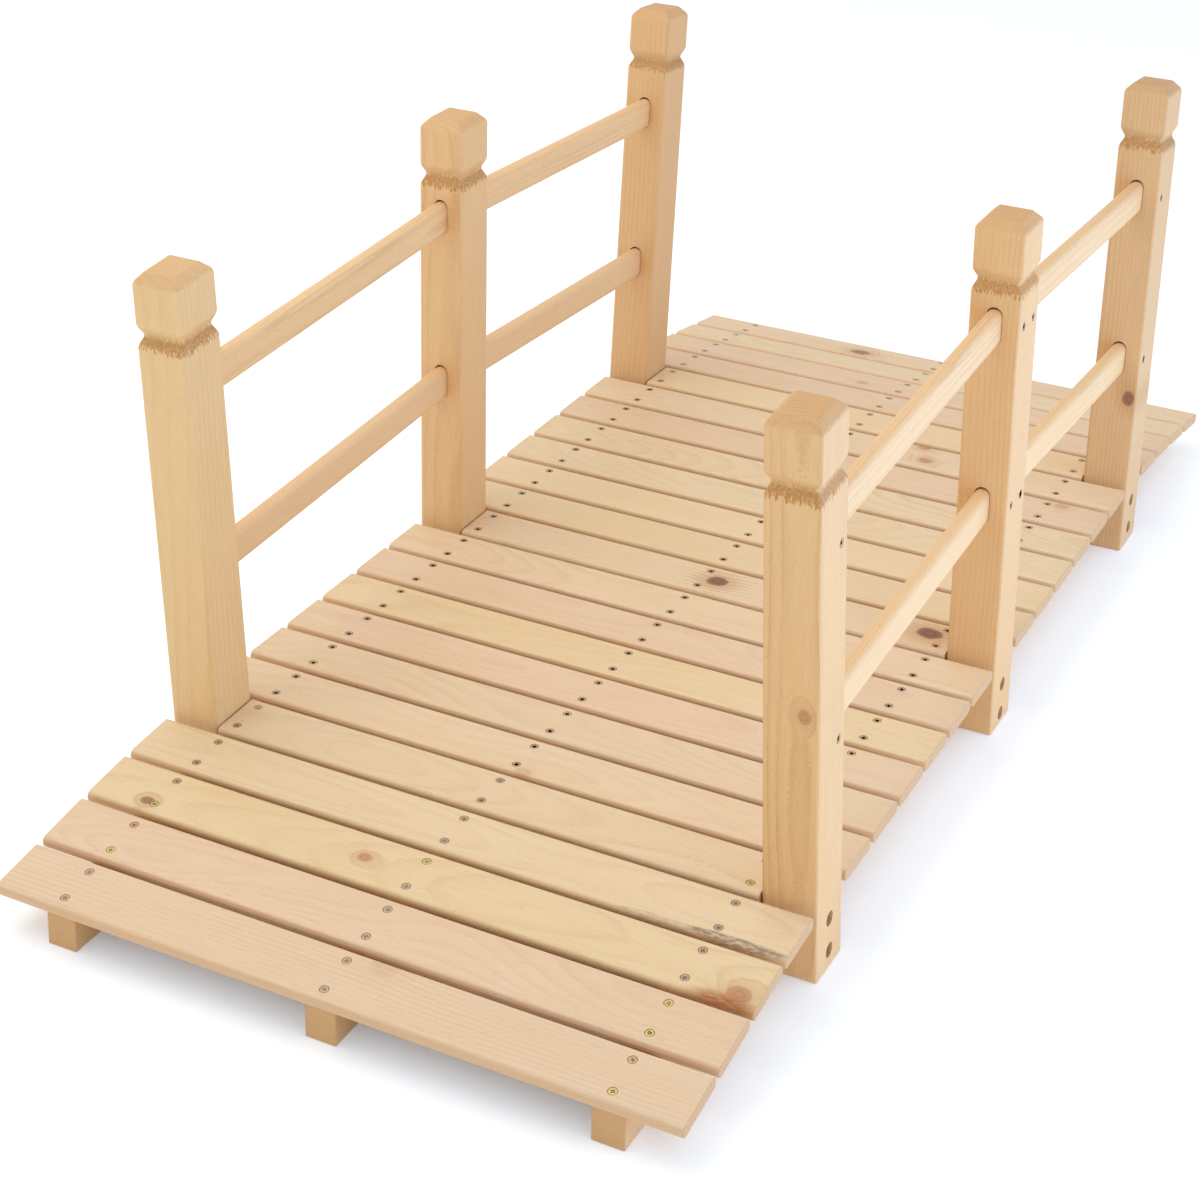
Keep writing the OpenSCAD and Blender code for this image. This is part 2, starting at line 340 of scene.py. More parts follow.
def torn_groove(node, own, wood, grain):
    """A groove's lower slope is the roughest cut: golden brown and frayed, where the cutter
    tore the fibres out."""
    timber = bpy.context.scene.footbridge_timber
    low, high, strength = grain.groove
    height = node("SeparateXYZ", [own]).outputs["X"]
    frayed = streaks(node, own, 12 * MM, 1.1 * MM, grain.seed + 19)
    fray = node("MapRange", [frayed, 0.35, 0.65, -2 * MM, 5 * MM],
                interpolation_type="SMOOTHSTEP")
    height = node("Math", [height, fray], operation="ADD")
    above = node("MapRange", [height, low, low + 1.5 * MM, 0, 1], interpolation_type="SMOOTHSTEP")
    below = node("MapRange", [height, high + 4 * MM, high + 2 * MM, 0, 1],
                 interpolation_type="SMOOTHSTEP")
    slope = node("Math", [above, below], operation="MULTIPLY")
    torn = node("MapRange", [frayed, 0.3, 0.6, 0.3 * strength, strength],
                interpolation_type="SMOOTHSTEP")
    mask = node("Math", [slope, torn], operation="MULTIPLY")
    return node("Mix", [mask, wood, rgba(timber.torn_grain, grain.light)], data_type="RGBA")


def planed_pine(name, bar, grain, knots=(), stains=()):
    """Planed pine: pale, almost matt wood with faint warm year rings that run along the piece,
    fine fibres, a few red-brown knots that the rings flow round, and darker, rougher end grain."""
    timber = bpy.context.scene.footbridge_timber
    material, node = blank_material(name)
    turn, middle, _ = bar
    to_own = turn.transposed()
    angles = to_own.to_euler("XYZ")
    place = node("TexCoord")
    own = node("Mapping", {"Vector": place.outputs["Object"], "Rotation": angles,
                           "Location": -(to_own @ middle)})
    facing = node("Mapping", {"Vector": place.outputs["Normal"], "Rotation": angles},
                  vector_type="VECTOR")
    facing = node("SeparateXYZ", [facing])

    field = log_field(node, own, grain)
    field, crowded, marks = knotted(node, own, field, grain.seed, knots)
    line = latewood_lines(node, own, field, crowded, grain)
    tint = timber.golden if grain.tint > 0 else timber.rosy
    pale = [a + (b - a) * abs(grain.tint) for a, b in zip(getattr(timber, grain.base), tint)]
    wood = node("Mix", [line, rgba(pale, grain.light), rgba(timber.latewood, grain.light)],
                data_type="RGBA")
    cloud = streaks(node, own, 250 * MM, 50 * MM, grain.seed + 7)
    cloud = node("MapRange", [cloud, 0.35, 0.75, 0, 0.5], interpolation_type="SMOOTHSTEP")
    warmer = [c * share for c, share in zip(pale, (0.96, 0.91, 0.83))]
    wood = node("Mix", [cloud, wood, rgba(warmer, grain.light)], data_type="RGBA")

    # Real fibres are a few hundredths of a millimetre wide, and resin ducts a fifth. Both are
    # drawn coarser, as wide as they need to be to show.
    fibre = streaks(node, own, 30 * MM, 0.7 * MM, grain.seed + 11, detail=3.0)
    shade = node("CombineColor", [
        node("MapRange", [fibre, 0.25, 0.75, darkest, 1.03], interpolation_type="SMOOTHSTEP")
        for darkest in (0.95, 0.93, 0.88)])
    wood = node("Mix", [1.0, wood, shade], data_type="RGBA", blend_type="MULTIPLY")
    duct = streaks(node, own, 7 * MM, 0.5 * MM, grain.seed + 13, detail=0.0)
    duct = node("MapRange", [duct, 0.7, 0.8, 0, 0.35], interpolation_type="SMOOTHSTEP")
    wood = node("Mix", [duct, wood, rgba(timber.latewood, 0.8)], data_type="RGBA")

    for mask, colour in marks:
        wood = node("Mix", [mask, wood, rgba(colour)], data_type="RGBA")
    wood = stained(node, own, wood, grain.seed, stains)

    # Painted shade: the narrow edges, which face into the joints between the planks, are drawn
    # warmer and darker than the broad faces
    painted_joint_shade = node("Math", [facing.outputs["Y"]], operation="ABSOLUTE")
    painted_joint_shade = node("MapRange", [painted_joint_shade, 0.4, 1, 0, grain.edge], interpolation_type="SMOOTHSTEP")
    wood = node("Mix", [painted_joint_shade, wood, rgba(timber.latewood)], data_type="RGBA")
    if grain.groove:
        wood = torn_groove(node, own, wood, grain)

    # Cut ends and slopes are darker, the more squarely they cross the grain. Their pores are
    # drawn a millimetre wide, far coarser than real ones, so that they show.
    cut = node("Math", [facing.outputs["X"]], operation="ABSOLUTE")
    cut = node("MapRange", [cut, 0.15, 0.85, 0, grain.end_strength],
               interpolation_type="SMOOTHSTEP")
    pores = node("TexNoise", {"Vector": own, "Scale": 700.0, "Detail": 3.0})
    porous = node("MapRange", [pores, 0.3, 0.7, 0.6, 1.2], interpolation_type="SMOOTHSTEP")
    cut = node("Math", [cut, porous], operation="MULTIPLY")
    wood = node("Mix", [cut, wood, rgba(timber.end_grain, grain.light)], data_type="RGBA")

    # Latewood is a little glossier than the fibres beside it, and stands a little proud
    rough = node("MapRange", [fibre, 0.3, 0.7, 0.5, 0.62], interpolation_type="SMOOTHSTEP")
    rough = node("Math", [line, -0.08, rough], operation="MULTIPLY_ADD")
    relief = node("Math", [fibre, line], operation="ADD")
    pitted = node("Math", [pores, cut], operation="MULTIPLY")
    pitted = node("Math", [pitted, 3.0], operation="MULTIPLY")
    relief = node("Math", [relief, 0.5, pitted], operation="MULTIPLY_ADD")
    bump = node("Bump", {"Height": relief, "Strength": 0.5, "Distance": 0.12 * MM})
    surface = node("BsdfPrincipled", {
        "Base Color": wood, "Roughness": rough, "Normal": bump, "IOR": 1.5})
    node("OutputMaterial", {"Surface": surface})
    return material


def passivated_zinc():
    """Zinc-plated steel with a yellow passivation: a soft metal gleam that goes from fresh
    greenish gold to reddish bronze and dull olive from one screw to the next, or dark brown, also
    painted shade for heads that sit in shade."""
    fixings = bpy.context.scene.footbridge_fixings
    material, node = blank_material("yellow_passivated_zinc")
    tone = node("Attribute", attribute_name="tone").outputs["Fac"]
    shade = node("ValToRGB", {"Fac": tone})
    stops = shade.color_ramp.elements
    # Tone 0 is the dark brown zinc that also paints the shade round sunken heads
    stops[0].color = rgba(fixings.brown_zinc_and_shade)
    stops[1].color = rgba(fixings.gilt)
    stops.new(FRESH_ZINC).color = rgba(fixings.dull)
    stops.new((1 + FRESH_ZINC) / 2).color = rgba(fixings.bronze)
    place = node("TexCoord")
    stain = node("TexNoise", {"Vector": place.outputs["Object"], "Scale": 450.0, "Detail": 3.0})
    worn = node("MapRange", [stain, 0.45, 0.7, 0, 0.5], interpolation_type="SMOOTHSTEP")
    metal = node("Mix", [worn, shade, rgba(fixings.dull, 0.6)], data_type="RGBA")
    rough = node("MapRange", [stain, 0.3, 0.7, 0.34, 0.52], interpolation_type="SMOOTHSTEP")
    surface = node("BsdfPrincipled", {"Base Color": metal, "Roughness": rough, "Metallic": 0.6})
    node("OutputMaterial", {"Surface": surface})
    return material


def recess_dirt():
    """Painted shade on the bottom and walls of a driven recess: almost black and matt, where only
    shade falls.
    """
    fixings = bpy.context.scene.footbridge_fixings
    material, node = blank_material("recess_dirt")
    place = node("TexCoord")
    speckle = node("TexNoise", {"Vector": place.outputs["Object"], "Scale": 1500.0})
    dirt = node("Mix", [speckle, rgba(fixings.dirt, 0.6), rgba(fixings.dirt, 1.6)], data_type="RGBA")
    surface = node("BsdfPrincipled", {"Base Color": dirt, "Roughness": 0.8})
    node("OutputMaterial", {"Surface": surface})
    return material


def matt_paper():
    """Matt white studio paper, lit from below as well round the bridge, so that shadows stay
    pale there: plain, without gloss, with a barely visible tooth."""
    studio = bpy.context.scene.footbridge_stage
    material, node = blank_material("matt_studio_paper")
    place = node("TexCoord")
    tooth = node("TexNoise", {"Vector": place.outputs["Object"], "Scale": 60.0, "Detail": 2.0})
    paper = node("Mix", [tooth, rgba(studio.floor, 0.99), rgba(studio.floor)], data_type="RGBA")
    # No light comes up under the deck, so the joints between the planks stay dark and warm
    spot = node("SeparateXYZ", {"Vector": place.outputs["Object"]})
    outside = 0.0
    for axis, reach in zip("XY", CAD_BOX[1]):
        away = node("Math", [spot.outputs[axis]], operation="ABSOLUTE")
        past = node("MapRange", [away, reach - studio.glow_fade, reach, 0, 1],
                    interpolation_type="SMOOTHSTEP")
        outside = node("Math", [past, outside], operation="MAXIMUM")
    glow = node("Math", [outside, studio.glow_strength], operation="MULTIPLY")
    surface = node("BsdfPrincipled", {
        "Base Color": paper, "Roughness": 1.0, "Specular IOR Level": 0.0,
        "Emission Color": rgba(studio.glow), "Emission Strength": glow})
    node("OutputMaterial", {"Surface": surface})
    return material


# ---------------------------------------------------------------- shaping

def measured_bar(node, facing, grain_direction):
    """The turn from a straight piece's own axes to the room's, its middle and its sizes.

    Its own X runs along the grain, and its Z out of the flat face that looks along facing."""
    mesh = NODES[node].data
    flat = max((p for p in mesh.polygons if p.normal.dot(facing) > 0.8), key=lambda p: p.area)
    through = flat.normal.copy()
    along = (grain_direction - through * grain_direction.dot(through)).normalized()
    turn = Matrix((along, through.cross(along), through)).transposed()
    own = [turn.transposed() @ v.co for v in mesh.vertices]
    low = Vector([min(v[i] for v in own) for i in range(3)])
    high = Vector([max(v[i] for v in own) for i in range(3)])
    return turn, turn @ ((low + high) / 2), high - low


def rounded(bm, edges, radius, segments):
    """Rounds edges, and marks the new faces as curved."""
    curved = bm.faces.layers.int["curved"]
    made = bmesh.ops.bevel(
        bm, geom=edges, offset=radius, offset_type="OFFSET", affect="EDGES",
        segments=segments, profile=0.5, material=-1, clamp_overlap=True)
    for face in made["faces"]:
        face[curved] = 1


def sawn_bar(size, radius, end_arris):
    """A straight bar along X, with its long edges rounded and its sawn ends eased."""
    bm = bmesh.new()
    bm.faces.layers.int.new("curved")
    bmesh.ops.create_cube(bm, size=1)
    bmesh.ops.scale(bm, vec=size, verts=bm.verts)
    rounded(bm, [e for e in bm.edges if e.calc_length() > 0.9 * size.x], radius, segments=7)
    ends = [e for e in bm.edges if all(abs(v.co.x) > size.x / 2 - 1e-6 for v in e.verts)]
    rounded(bm, ends, end_arris, segments=2)
    return bm


def merged_copy(node):
    """The CAD piece as one clean shell, whose flat faces are whole."""
    bm = bmesh.new()
    bm.from_mesh(NODES[node].data)
    bm.faces.layers.int.new("curved")
    bmesh.ops.remove_doubles(bm, verts=bm.verts, dist=2e-6)
    bmesh.ops.dissolve_limit(
        bm, angle_limit=math.radians(0.4), verts=bm.verts, edges=bm.edges)
    return bm


def sink_pockets(bm, spots, outward, along):
    """Sinks a tapered round pocket into the flat face that looks outward, at each spot."""
    fixings = bpy.context.scene.footbridge_fixings
    curved = bm.faces.layers.int["curved"]
    side = outward.cross(along)
    margin = fixings.pocket_mouth * 1.25

    def flats():
        return [f for f in bm.faces if f.normal.dot(outward) > 0.9999
                and abs((f.calc_center_median() - spots[0]).dot(outward)) < 1e-5]

    for axis in (along, side):
        cuts = sorted({round(s.dot(axis) + e * margin, 7) for s in spots for e in (-1, 1)})
        for cut in cuts:
            faces = flats()
            edges = list({e for f in faces for e in f.edges})
            verts = list({v for f in faces for v in f.verts})
            bmesh.ops.bisect_plane(
                bm, geom=faces + edges + verts, dist=1e-7, plane_co=axis * cut, plane_no=axis)
    for spot in spots:
        cell = min(flats(), key=lambda f: (f.calc_center_median() - spot).length)
        corner = cell.verts[0].co.copy()
        bmesh.ops.bisect_edges(bm, edges=cell.edges[:], cuts=3)
        bmesh.ops.inset_individual(bm, faces=[cell], thickness=margin * 0.05)
        ring = cell.verts[:]
        start = min(range(len(ring)), key=lambda k: (ring[k].co - corner).length)
        offset = ring[start].co - spot
        corner_angle = math.atan2(offset.dot(side), offset.dot(along))
        step = math.tau / len(ring)
        for k in range(len(ring)):
            angle = corner_angle + step * k
            ring[(start + k) % len(ring)].co = (
                spot + fixings.pocket_mouth * (along * math.cos(angle) + side * math.sin(angle)))
        walls = bmesh.ops.inset_individual(
            bm, faces=[cell], thickness=fixings.pocket_mouth - fixings.pocket_floor,
            depth=-fixings.pocket_depth)
        for face in walls["faces"]:
            face[curved] = 1


def finished(bm, name, turn=None, middle=None):
    """Makes an object of a shape: curved faces shade smoothly, and flat ones stay flat."""
    curved = bm.faces.layers.int["curved"]
    if turn is not None:
        bmesh.ops.transform(
            bm, matrix=Matrix.Translation(middle) @ turn.to_4x4(), verts=bm.verts)
    bmesh.ops.recalc_face_normals(bm, faces=bm.faces)
    for face in bm.faces:
        face.smooth = bool(face[curved])
    for edge in bm.edges:
        edge.smooth = (all(f[curved] for f in edge.link_faces)
                       and edge.calc_face_angle(0) < math.radians(50))
    mesh = bpy.data.meshes.new(name)
    bm.to_mesh(mesh)
    bm.free()
    made = bpy.data.objects.new(name, mesh)
    bpy.context.scene.collection.objects.link(made)
    return made


def shown(piece, material, slot, *nodes):
    """Gives a piece its material, and lets it ride on the body in place of its CAD nodes."""
    piece.data.materials.append(material)
    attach(piece, "root")
    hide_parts(*nodes)


# ---------------------------------------------------------------- the deck

def stringer_lines():
    """Y of the middle of each stringer, where the planks are screwed down."""
    return [sum(c.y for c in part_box(name)) / 2 for name in STRINGERS]


def screw_spots(bar):
    """Where a plank's screws stand: two on each stringer, on the plank's upper face."""
    row_half = bpy.context.scene.footbridge_fixings.row_half
    turn, middle, size = bar
    top = middle + turn.col[2] * size.z / 2
    return [Vector((top.x, line, top.z)) + turn.col[1] * side * row_half
            for line in stringer_lines() for side in (-1, 1)]


# Knots and stains: along the plank from its middle (towards the left rail), across it
# (towards the near end), then radius and strength. For a stain its half length, half width,
# strength, how far out it stays solid and torn, and its colour's name
PLANK_KNOTS = {
    1: [(-0.033, -0.024, 0.010, 0.15)],
    3: [(0.273, 0.0163, 0.005, 0.75), (0.052, 0.0005, 0.005, 0.65), (-0.312, 0.0168, 0.0082, 0.69)],
    6: [(-0.012, 0.026, 0.006, 0.25)],
    12: [(-0.015, 0.0, 0.0085, 1.0), (-0.250, -0.003, 0.010, 1.0)],
    17: [(-0.280, -0.0187, 0.006, 0.35)],
    18: [(-0.092, -0.0245, 0.006, 0.6), (-0.105, 0.0086, 0.006, 0.6)],
    21: [(0.05, 0.012, 0.005, 0.35)],
    23: [(0.103, 0.009, 0.009, 0.75)],
}
PLANK_STAINS = {
    3: [(-0.303, 0.0315, 0.044, 0.016, 1.0, 0.3, "resin")],
    4: [(-0.286, 0.0268, 0.052, 0.0050, 0.75, 0.7, "scuff"),
        (-0.220, 0.0280, 0.050, 0.0040, 0.3, 0.7, "scuff")],
}


def plank_grain(number, chance):
    """Most planks are flat-sawn, with the heart a few centimetres below or above."""
    flat_sawn = chance.random() < 0.8
    pith = ((chance.uniform(-0.015, 0.015), chance.choice((-1, 1)) * chance.uniform(0.04, 0.08))
            if flat_sawn else
            (chance.choice((-1, 1)) * chance.uniform(0.05, 0.12), chance.uniform(-0.03, 0.03)))
    # The planks' narrow edges get painted shade for the joints between them
    return Grain(
        seed=number * 5.3, pith=pith, ring=chance.uniform(3.4, 6.0) * MM,
        wander=chance.uniform(8, 18) * MM, contrast=chance.uniform(0.16, 0.36),
        tint=chance.uniform(-0.9, 0.5), light=chance.uniform(0.96, 1.0), base="earlywood",
        end_strength=0.75, edge=0.4)


class FOOTBRIDGE_OT_planks(bpy.types.Operator):
    """Make the 23 planed deck planks, with rounded edges and countersunk screw holes"""
    bl_idname = "footbridge.planks"
    bl_label = "Deck planks"

    def execute(self, context):
        timber = context.scene.footbridge_timber
        chance = random.Random(23)
        for number, node in enumerate(PLANKS, 1):
            bar = measured_bar(node, Z, Y)
            turn, middle, size = bar
            bm = sawn_bar(size, timber.plank_round, timber.end_arris)
            to_own = Matrix.Translation(middle) @ turn.to_4x4()
            spots = [to_own.inverted() @ spot for spot in screw_spots(bar)]
            sink_pockets(bm, spots, Z, X)
            piece = finished(bm, f"plank_{number:02d}", turn, middle)
            material = planed_pine(
                f"planed_pine_plank_{number:02d}", bar, plank_grain(number, chance),
                PLANK_KNOTS.get(number, ()), PLANK_STAINS.get(number, ()))
            shown(piece, material, "deck_pine", node)
        return {"FINISHED"}


class FOOTBRIDGE_OT_stringers(bpy.types.Operator):
    """Make the three stringers that carry the deck"""
    bl_idname = "footbridge.stringers"
    bl_label = "Stringers"

    def execute(self, context):
        timber = context.scene.footbridge_timber
        chance = random.Random(3)
        for number, node in enumerate(STRINGERS):
            bm = merged_copy(node)
            low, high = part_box(node)
            # Long sharp edges; the bolts' holes have only short ones
            outer = [e for e in bm.edges if e.calc_face_angle(0) > math.radians(60)
                     and e.calc_length() > 12 * MM]
            rounded(bm, outer, timber.stringer_arris, segments=2)
            piece = finished(bm, "finished_" + node)
            bar = (Matrix.Identity(3), (low + high) / 2, high - low)
            grain = Grain(seed=200 + number * 7.1, pith=(chance.uniform(-0.03, 0.03), -0.05),
                          base="honey", light=0.92)
            shown(piece, planed_pine("planed_pine_" + node, bar, grain), "stringer_pine", node)
        return {"FINISHED"}


# ---------------------------------------------------------------- posts and rails

# How golden each post's wood is, how light, how strong its grain and how wide its year rings
POST_LOOKS = {
    "post_near_left": (0.6, 1.03, 0.25, 7.0 * MM),
    "post_middle_left": (0.2, 1.03, 0.4, 4.0 * MM),
    "post_far_left": (0.0, 0.98, 0.4, 4.5 * MM),
    "post_near_right": (0.1, 1.03, 0.7, 5.5 * MM),
    "post_middle_right": (0.0, 1.02, 0.45, 3.5 * MM),
    "post_far_right": (-0.1, 0.91, 0.4, 4.0 * MM),
}
POST_KNOTS = {
    "post_near_right": [(0.0, 0.012, 0.0055, 0.6)],
    "post_far_right": [(-0.089, 0.0165, 0.0065, 0.85)],
}


def side_of(node):
    """1 on the left, which is towards Y, and -1 on the right."""
    return 1 if "left" in node else -1


def rail_screws_of(post):
    """Where the screws stand on a post's outer face: one for each rail that ends in it."""
    offset = bpy.context.scene.footbridge_fixings.rail_screw_offset
    turn, middle, _ = measured_bar(post, X, Z)
    outer_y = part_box(post)[1 if side_of(post) > 0 else 0].y
    station, side = post.split("_")[1:]
    spots = []
    for rail in (name for name in RAILS if name.endswith(side)):
        bay = rail.split("_")[2]
        if station not in ("middle", bay):
            continue
        rail_turn, rail_middle, _ = measured_bar(rail, Z, X)
        along, forward = rail_turn.col[0], turn.col[2]
        towards = 1 if rail_middle.x > middle.x else -1
        # The point of the rail's middle line that lies the offset from the post's middle line
        run = ((middle - rail_middle).dot(forward) + towards * offset) / along.dot(forward)
        spot = rail_middle + along * run
        spots.append(Vector((spot.x, outer_y, spot.z)))
    return spots


def lower_slope_of(post, bar):
    """Where the lower slope of a post's neck begins and ends, along the post from its middle."""
    turn, middle, size = bar
    own = [turn.transposed() @ (v.co - middle) for v in NODES[post].data.vertices]
    corners = [v for v in own if v.x > 0.3 * size.x and abs(v.y) > 0.35 * size.y]
    return min(c.x for c in corners), min(corners, key=lambda c: abs(c.y)).x


class FOOTBRIDGE_OT_posts(bpy.types.Operator):
    """Make the six posts, with eased edges and the pockets of the rails' screws"""
    bl_idname = "footbridge.posts"
    bl_label = "Posts"

    def execute(self, context):
        timber = context.scene.footbridge_timber
        chance = random.Random(6)
        # Edges nearer than this to a post's middle line belong to its mortises and bolt holes
        clear = 12 * MM
        for number, node in enumerate(POSTS):
            bar = measured_bar(node, X, Z)
            turn, middle, size = bar
            bm = merged_copy(node)
            to_own = turn.transposed()

            def beside_corner(vert):
                own = to_own @ (vert.co - middle)
                return abs(own.y) > clear and abs(own.z) > clear

            arrises = [e for e in bm.edges if e.calc_face_angle(0) > math.radians(15)
                       and all(beside_corner(v) for v in e.verts)]
            rounded(bm, arrises, timber.post_arris, segments=3)
            sink_pockets(bm, rail_screws_of(node), Y * side_of(node), turn.col[0])
            piece = finished(bm, "finished_" + node)
            tint, light, contrast, ring = POST_LOOKS[node]
            pith = (chance.uniform(-0.09, 0.09), chance.choice((-1, 1)) * chance.uniform(0.05, 0.1))
            grain = Grain(
                seed=300 + number * 4.7, pith=pith, base="honey", light=light, tint=tint,
                ring=ring, wander=5 * MM, contrast=contrast,
                groove=(*lower_slope_of(node, bar), 0.9))
            material = planed_pine("planed_pine_" + node, bar, grain, POST_KNOTS.get(node, ()))
            shown(piece, material, "post_pine", node)
        return {"FINISHED"}


class FOOTBRIDGE_OT_rails(bpy.types.Operator):
    """Make the eight rails, planed with broad rounded edges"""
    bl_idname = "footbridge.rails"
    bl_label = "Rails"

    def execute(self, context):
        timber = context.scene.footbridge_timber
        chance = random.Random(8)
        for number, node in enumerate(RAILS):
            bar = measured_bar(node, Z, X)
            turn, middle, size = bar
            bm = sawn_bar(size, timber.rail_round, timber.end_arris)
            piece = finished(bm, "finished_" + node, turn, middle)
            grain = Grain(
                seed=400 + number * 6.1,
                pith=(chance.uniform(0.02, 0.05), chance.uniform(-0.05, 0.05)),
                ring=chance.uniform(2.4, 4.0) * MM, wander=5 * MM,
                contrast=chance.uniform(0.3, 0.5), tint=chance.uniform(-0.1, 0.4),
                light=chance.uniform(1.02, 1.05))
            shown(piece, planed_pine("planed_pine_" + node, bar, grain), "rail_pine", node)
        return {"FINISHED"}


# ---------------------------------------------------------------- fixings

def cross_head(radius, arm, slot, recess, foot, depth):
    """A head that looks along Z, with a driven cross recess. Its top is at zero, and it narrows
    to the foot's radius at its depth."""
    bm = bmesh.new()
    bm.faces.layers.int.new("curved")
    bmesh.ops.create_grid(bm, x_segments=3, y_segments=3, size=arm)
    for vert in bm.verts:
        for i in (0, 1):
            if abs(vert.co[i]) < arm * 0.9:
                vert.co[i] = math.copysign(slot, vert.co[i])
    cross = [f for f in bm.faces if min(map(abs, f.calc_center_median().xy)) < slot / 2]
    border = [e for e in bm.edges if e.is_boundary]
    rim = bmesh.ops.create_circle(bm, segments=12, radius=radius)
    bmesh.ops.rotate(bm, verts=rim["verts"], matrix=Matrix.Rotation(math.radians(15), 3, "Z"))
    rim_edges = list({e for v in rim["verts"] for e in v.link_edges})
    bmesh.ops.bridge_loops(bm, edges=border + rim_edges)

    # The corners between the arms stay level with the head; the cross sinks in and narrows
    sunk = bmesh.ops.extrude_face_region(bm, geom=cross)
    bmesh.ops.delete(bm, geom=cross, context="FACES_ONLY")
    floor = [v for v in sunk["geom"] if isinstance(v, bmesh.types.BMVert)]
    bmesh.ops.translate(bm, verts=floor, vec=(0, 0, -recess))
    bmesh.ops.scale(bm, verts=floor, vec=(0.7, 0.7, 1))
    # The recess's floor and walls take the second material, the painted recess shade
    for face in {f for v in floor for f in v.link_faces}:
        face.material_index = 1

    below = bmesh.ops.extrude_edge_only(bm, edges=rim_edges)
    lower = [v for v in below["geom"] if isinstance(v, bmesh.types.BMVert)]
    bmesh.ops.translate(bm, verts=lower, vec=(0, 0, -depth))
    bmesh.ops.scale(bm, verts=lower, vec=(foot / radius, foot / radius, 1))
    bmesh.ops.contextual_create(bm, geom=lower)
    bmesh.ops.recalc_face_normals(bm, faces=bm.faces)
    mesh = bpy.data.meshes.new("cross_head")
    bm.to_mesh(mesh)
    bm.free()
    return mesh


def set_out(name, template, spots, tones, chance, *nodes):
    """One mesh with a copy of the template at each spot: a point, the way out and a turn.

    The metal's tone is drawn from between the two tones."""
    bm = bmesh.new()
    bm.faces.layers.int.new("curved")
    tone = bm.verts.layers.float.new("tone")
    for point, outward, spin in spots:
        start = len(bm.verts)
        bm.from_mesh(template)
        bm.verts.ensure_lookup_table()
        fresh = bm.verts[start:]
        turn = outward.to_track_quat("Z", "Y").to_matrix() @ Matrix.Rotation(spin, 3, "Z")
        bmesh.ops.transform(
            bm, matrix=Matrix.Translation(point) @ turn.to_4x4(), verts=fresh)
        shade = chance.uniform(*tones)
        for vert in fresh:
            vert[tone] = shade
    piece = finished(bm, name)
    for material in ("yellow_passivated_zinc", "recess_dirt"):
        piece.data.materials.append(bpy.data.materials[material])
    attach(piece, "root")
    if nodes:
        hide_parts(*nodes)


class FOOTBRIDGE_OT_screws(bpy.types.Operator):
    """Drive the countersunk screws of the deck and of the rails"""
    bl_idname = "footbridge.screws"
    bl_label = "Screws"

    def execute(self, context):
        fixings = context.scene.footbridge_fixings
        passivated_zinc()
        recess_dirt()
        chance = random.Random(138)
        head = cross_head(
            fixings.screw_head, fixings.screw_arm, fixings.screw_slot, fixings.screw_recess,
            fixings.screw_shank, fixings.screw_taper)

        def driven(spots, outward):
            return [(spot - outward * fixings.screw_sink, outward, chance.uniform(0, math.pi / 2))
                    for spot in spots]

        deck = []
        for node in PLANKS:
            bar = measured_bar(node, Z, Y)
            deck += driven(screw_spots(bar), bar[0].col[2].copy())
        set_out("deck_screws", head, deck, (FRESH_ZINC, 1), chance)
        rails = []
        for node in POSTS:
            rails += driven(rail_screws_of(node), Y * side_of(node))
        # The rails' screws take the dark brown tones: painted shade for heads in shaded pockets
        set_out("rail_screws", head, rails, (0, FRESH_ZINC), chance)
        return {"FINISHED"}


def bolt_tops(node, outward):
    """The middle of each bolt's outer end, from the CAD node of one side's bolts."""
    bm = bmesh.new()
    bm.from_mesh(NODES[node].data)
    bmesh.ops.remove_doubles(bm, verts=bm.verts, dist=2e-6)
    reach = max(v.co.dot(outward) for v in bm.verts)
    bolts = []
    for face in bm.faces:
        middle = face.calc_center_median()
        if face.normal.dot(outward) < 0.99 or abs(middle.dot(outward) - reach) > 1e-5:
            continue
        corners = [v.co.copy() for v in face.verts]
        for first, members in bolts:
            if (middle - first).length < 12 * MM:
                members += corners
                break
        else:
            bolts.append((middle, corners))
    bm.free()
    ends = []
    for _, members in bolts:
        low = Vector([min(c[i] for c in members) for i in range(3)])
        high = Vector([max(c[i] for c in members) for i in range(3)])
        ends.append((low + high) / 2)
    return ends


class FOOTBRIDGE_OT_bolts(bpy.types.Operator):
    """Set the bolts that hold the posts to the outer stringers"""
    bl_idname = "footbridge.bolts"
    bl_label = "Bolts"

    def execute(self, context):
        fixings = context.scene.footbridge_fixings
        chance = random.Random(12)
        head = cross_head(
            fixings.bolt_head, fixings.bolt_arm, fixings.bolt_slot, fixings.bolt_recess,
            fixings.bolt_head - fixings.bolt_draft, fixings.bolt_depth)
        for node in BOLTS:
            outward = Y * side_of(node)
            spots = [(end, outward, chance.uniform(0, math.pi / 2))
                     for end in bolt_tops(node, outward)]
            # The bolts take the dark brown tones: painted shade for heads that sit in shade
            set_out("finished_" + node, head, spots, (0, FRESH_ZINC / 2), chance, node)
        return {"FINISHED"}


# ---------------------------------------------------------------- studio

